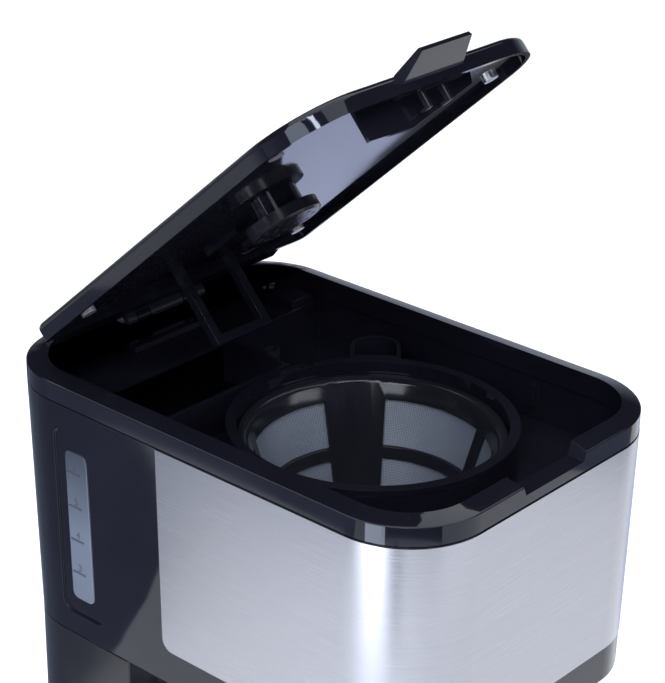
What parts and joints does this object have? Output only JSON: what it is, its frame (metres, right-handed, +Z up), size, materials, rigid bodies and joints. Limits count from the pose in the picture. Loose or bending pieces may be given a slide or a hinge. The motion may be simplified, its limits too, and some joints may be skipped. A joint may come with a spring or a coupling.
{
  "type": "drip coffee maker",
  "caption": "Compact glossy black drip coffee maker with a stainless wrap, hinged lid, lift-out brew basket and mesh filter, side water gauge and glass carafe.",
  "frame": {"origin": "on the counter, under the middle of the body", "axes": "+Z up, -Y towards the front where the carafe goes in, +X to the right seen from the front"},
  "size_m": [0.1502, 0.244, 0.4098],
  "materials": {
    "black_plastic": "satin black moulding",
    "gloss_black": "high gloss blue-black moulding",
    "grey_plastic": "matt dark grey",
    "white_plastic": "natural moulding",
    "tank_plastic": "dark satin inside",
    "rocker_plastic": "gloss",
    "foot_rubber": "matt",
    "seal_rubber": "matt",
    "hose_silicone": "translucent milky",
    "screw_steel": "zinc plated",
    "spring_steel": "bright drawn",
    "sheath_steel": "oxidised",
    "wrap_steel": "brushed stainless",
    "terminal_brass": "plain",
    "cast_aluminium": "as cast",
    "plate_enamel": "non-stick coating",
    "thermostat_ceramic": "glazed",
    "window_clear": "translucent pale blue",
    "mark_ink": "printed ink",
    "mesh_nylon": "fine woven nylon",
    "wire_sheath": "matt",
    "clear_glass": "clear borosilicate"
  },
  "bodies": {
    "machine": {"base_shell": "black_plastic", "bottom_cover": "grey_plastic", "rubber_feet": "foot_rubber", "cover_screws": "screw_steel", "switch_bezel": "black_plastic", "switch_terminals": "terminal_brass", "warming_plate": "plate_enamel", "plate_seal": "seal_rubber", "heater_tube": "cast_aluminium", "heating_element": "sheath_steel", "heater_clamp": "screw_steel", "clamp_bolt": "screw_steel", "thermostat": "thermostat_ceramic", "thermal_fuses": "terminal_brass", "column_shell": "black_plastic", "cord_gland": "grey_plastic", "terminal_block": "white_plastic", "lead_wires": "wire_sheath", "inlet_hose": "hose_silicone", "riser_hose": "hose_silicone", "check_valve": "white_plastic", "hose_clips": "screw_steel", "housing_shell": "gloss_black", "front_wrap": "wrap_steel", "gauge_window": "window_clear", "gauge_marks": "mark_ink", "top_rim": "gloss_black", "inner_tray": "gloss_black", "water_tank": "tank_plastic", "riser_pipe": "black_plastic", "tank_strainer": "white_plastic", "hinge_bracket": "black_plastic", "hinge_pin": "screw_steel"},
    "lid": {"lid_cover": "gloss_black", "lid_liner": "gloss_black", "lid_screws": "screw_steel", "spray_head": "black_plastic", "water_duct": "black_plastic", "lid_latch": "black_plastic"},
    "basket": {"brew_basket": "gloss_black", "valve_cage": "black_plastic"},
    "valve": {"drip_valve": "white_plastic", "valve_gasket": "seal_rubber", "valve_spring": "spring_steel"},
    "filter": {"filter_frame": "black_plastic", "filter_mesh": "mesh_nylon"},
    "carafe": {"carafe_glass": "clear_glass", "carafe_band": "wrap_steel", "carafe_handle": "black_plastic", "handle_screw": "screw_steel"},
    "carafe_cap": {"carafe_lid": "black_plastic"},
    "rocker": {"switch_rocker": "rocker_plastic"}
  },
  "joints": [
    {"name": "lid_hinge", "type": "hinge", "parent": "machine", "child": "lid", "pos_m": [0, 0.09164, 0.26736], "axis": [-1, 0, 0], "range_deg": [-42.02, 48]},
    {"name": "basket_lift", "type": "slide", "parent": "machine", "child": "basket", "axis": [0, 0, 1], "range_m": [0, 0.045]},
    {"name": "filter_lift", "type": "slide", "parent": "basket", "child": "filter", "axis": [0, 0, 1], "range_m": [0, 0.04]},
    {"name": "valve_plunge", "type": "slide", "parent": "basket", "child": "valve", "axis": [0, 0, 1], "range_m": [0, 0.004], "stiffness_N_per_m": 60, "springref_m": -0.006, "deforming": ["valve_spring"]},
    {"name": "carafe_out", "type": "slide", "parent": "machine", "child": "carafe", "axis": [0, -1, 0], "range_m": [0, 0.14]},
    {"name": "carafe_lid_turn", "type": "hinge", "parent": "carafe", "child": "carafe_cap", "pos_m": [0, -0.0232, 0.145], "axis": [0, 0, 1], "range_deg": [0, 30]},
    {"name": "switch_rock", "type": "hinge", "parent": "machine", "child": "rocker", "pos_m": [0, -0.1043, 0.0195], "axis": [1, 0, 0], "range_deg": [0, 12]}
  ]
}
